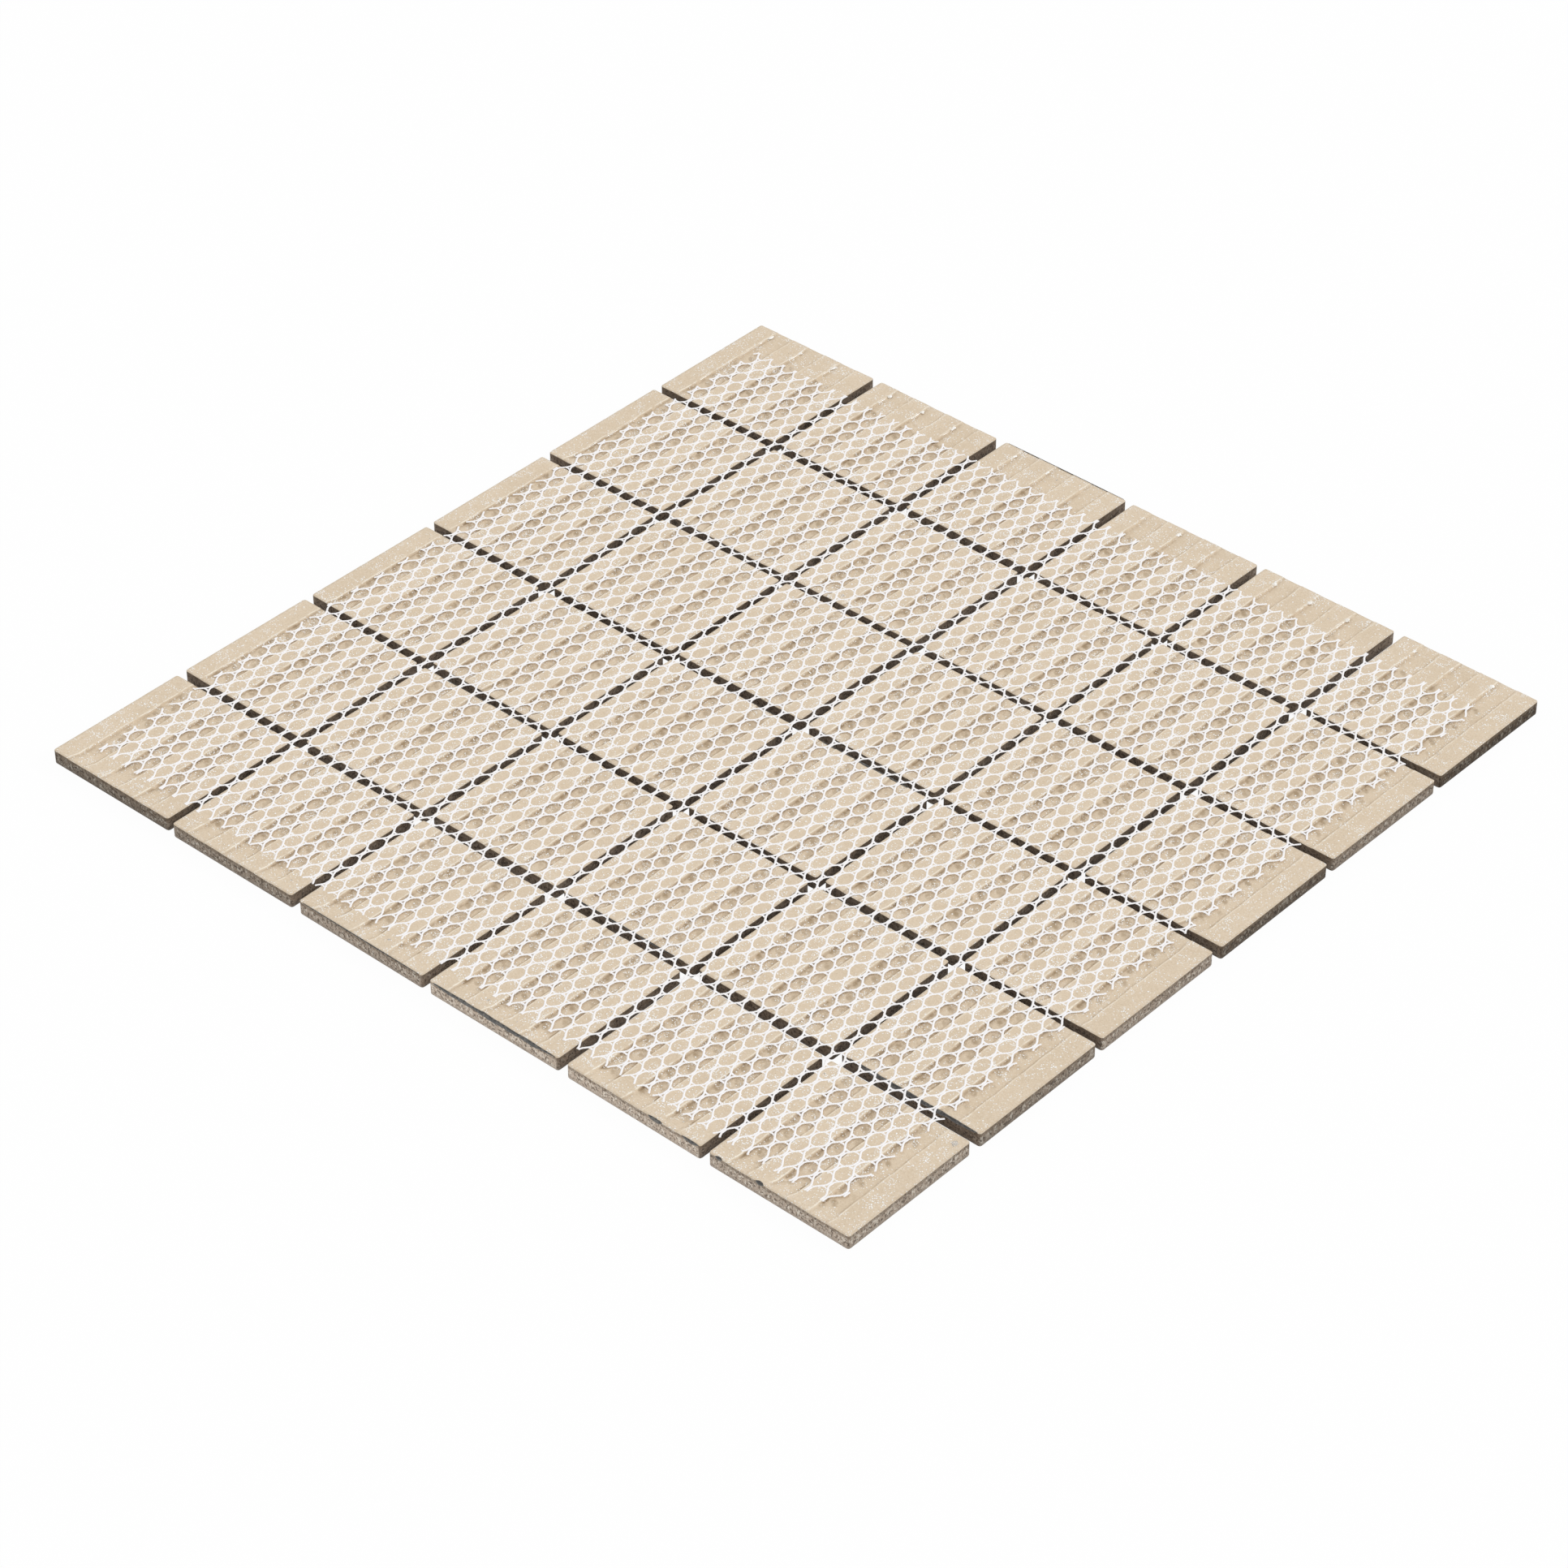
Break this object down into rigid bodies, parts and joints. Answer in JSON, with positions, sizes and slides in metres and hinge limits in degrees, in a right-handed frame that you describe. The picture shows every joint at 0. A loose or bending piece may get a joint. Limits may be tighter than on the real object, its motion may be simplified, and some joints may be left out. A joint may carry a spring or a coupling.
{
  "type": "mosaic tile sheet",
  "caption": "Square sheet of small square porcelain tiles lying face down, their grooved backs joined by a glued knitted net with six-sided openings.",
  "frame": {"origin": "middle of the sheet on the level of the glazed faces, which lie down", "axes": "+Z out of the tile backs, up; X and Y along the tile edges, Y along the grooves of the backs"},
  "size_m": [0.303, 0.303, 0.0051],
  "materials": {
    "porcelain": "unglazed pressed back",
    "net": "knitted white thread, stiffened with glue"
  },
  "bodies": {
    "root": {"net_band_01": "net", "net_band_02": "net", "net_band_03": "net", "net_band_04": "net", "net_band_05": "net", "net_band_06": "net", "net_band_07": "net", "net_band_08": "net", "net_band_09": "net", "net_band_10": "net", "net_band_11": "net", "net_band_12": "net", "net_band_13": "net", "net_band_14": "net", "tile_r1_c1": "porcelain", "tile_r1_c2": "porcelain", "tile_r1_c3": "porcelain", "tile_r1_c4": "porcelain", "tile_r1_c5": "porcelain", "tile_r1_c6": "porcelain", "tile_r2_c1": "porcelain", "tile_r2_c2": "porcelain", "tile_r2_c3": "porcelain", "tile_r2_c4": "porcelain", "tile_r2_c5": "porcelain", "tile_r2_c6": "porcelain", "tile_r3_c1": "porcelain", "tile_r3_c2": "porcelain", "tile_r3_c3": "porcelain", "tile_r3_c4": "porcelain", "tile_r3_c5": "porcelain", "tile_r3_c6": "porcelain", "tile_r4_c1": "porcelain", "tile_r4_c2": "porcelain", "tile_r4_c3": "porcelain", "tile_r4_c4": "porcelain", "tile_r4_c5": "porcelain", "tile_r4_c6": "porcelain", "tile_r5_c1": "porcelain", "tile_r5_c2": "porcelain", "tile_r5_c3": "porcelain", "tile_r5_c4": "porcelain", "tile_r5_c5": "porcelain", "tile_r5_c6": "porcelain", "tile_r6_c1": "porcelain", "tile_r6_c2": "porcelain", "tile_r6_c3": "porcelain", "tile_r6_c4": "porcelain", "tile_r6_c5": "porcelain", "tile_r6_c6": "porcelain"}
  },
  "joints": []
}
